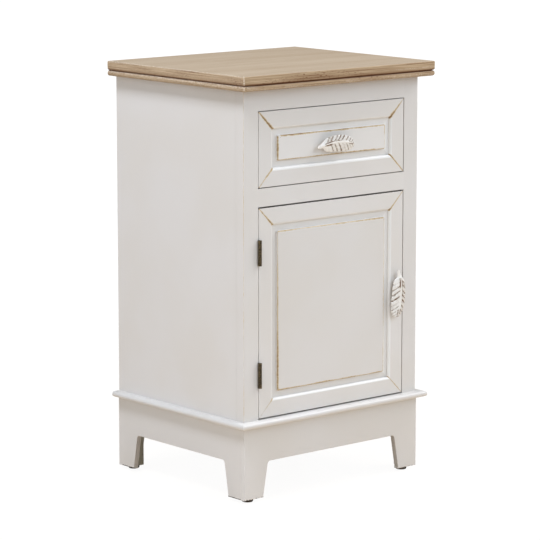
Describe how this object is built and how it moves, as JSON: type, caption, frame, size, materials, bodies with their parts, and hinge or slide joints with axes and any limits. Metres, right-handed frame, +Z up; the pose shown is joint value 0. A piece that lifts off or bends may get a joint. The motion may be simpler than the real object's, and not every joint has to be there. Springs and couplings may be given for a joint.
{
  "type": "nightstand",
  "caption": "Nightstand with a drawer above a hinged door: mitred raised-panel fronts, feather pulls, an overhanging veneered top and a plinth with tapered legs.",
  "frame": {"origin": "on the floor, below the middle of the top board", "axes": "+X to the right seen from the front, +Y from front to back, +Z up"},
  "size_m": [0.4, 0.34, 0.672],
  "materials": {
    "painted_wood": "warm white satin paint, worn to the wood along mitres and raised edges",
    "oak_veneer": "matt greyed oak veneer with darker edges",
    "bare_wood": "bare planed softwood",
    "plywood": "bare plywood",
    "bronze": "dark antique bronze",
    "washed_metal": "whitewashed cast metal with brown in the grooves",
    "steel": "zinc-plated steel",
    "dark_plastic": "moulded plastic"
  },
  "bodies": {
    "cabinet": {"top_board": "oak_veneer", "top_under_board": "oak_veneer", "side_panel_left": "painted_wood", "side_panel_right": "painted_wood", "back_panel": "plywood", "divider_panel": "bare_wood", "front_stile_left": "painted_wood", "front_stile_right": "painted_wood", "front_rail_top": "painted_wood", "front_rail_middle": "painted_wood", "waist_board": "painted_wood", "plinth_front": "painted_wood", "plinth_back": "painted_wood", "plinth_left": "painted_wood", "plinth_right": "painted_wood", "plinth_corner_blocks": "bare_wood", "foot_glides": "dark_plastic", "drawer_runner_left": "bare_wood", "drawer_runner_right": "bare_wood", "drawer_kickers": "bare_wood", "drawer_stops": "bare_wood", "top_cleats": "bare_wood", "hinge_frame_leaf_upper": "bronze", "hinge_frame_leaf_lower": "bronze", "hinge_pins": "bronze", "hinge_frame_screws": "bronze", "catch_body": "dark_plastic", "catch_screws": "steel", "back_screws": "steel", "top_screws": "steel", "side_screws": "steel", "block_screws": "steel"},
    "drawer": {"drawer_member_top": "painted_wood", "drawer_member_bottom": "painted_wood", "drawer_member_left": "painted_wood", "drawer_member_right": "painted_wood", "drawer_field_panel": "painted_wood", "drawer_box_front": "bare_wood", "drawer_box_side_left": "bare_wood", "drawer_box_side_right": "bare_wood", "drawer_box_back": "bare_wood", "drawer_box_bottom": "plywood", "drawer_pull": "washed_metal", "drawer_pull_screws": "steel", "drawer_front_screws": "steel"},
    "door": {"door_member_top": "painted_wood", "door_member_bottom": "painted_wood", "door_member_left": "painted_wood", "door_member_right": "painted_wood", "door_field_panel": "painted_wood", "door_pull": "washed_metal", "door_pull_screws": "steel", "hinge_door_leaf_upper": "bronze", "hinge_door_leaf_lower": "bronze", "hinge_door_screws": "bronze", "strike_plate": "steel", "strike_screws": "steel"}
  },
  "joints": [
    {"name": "drawer_slide", "type": "slide", "parent": "cabinet", "child": "drawer", "axis": [0, -1, 0], "range_m": [0, 0.2]},
    {"name": "door_swing", "type": "hinge", "parent": "cabinet", "child": "door", "pos_m": [-0.15275, -0.1513, 0.2983], "axis": [0, 0, -1], "range_deg": [0, 180]}
  ]
}
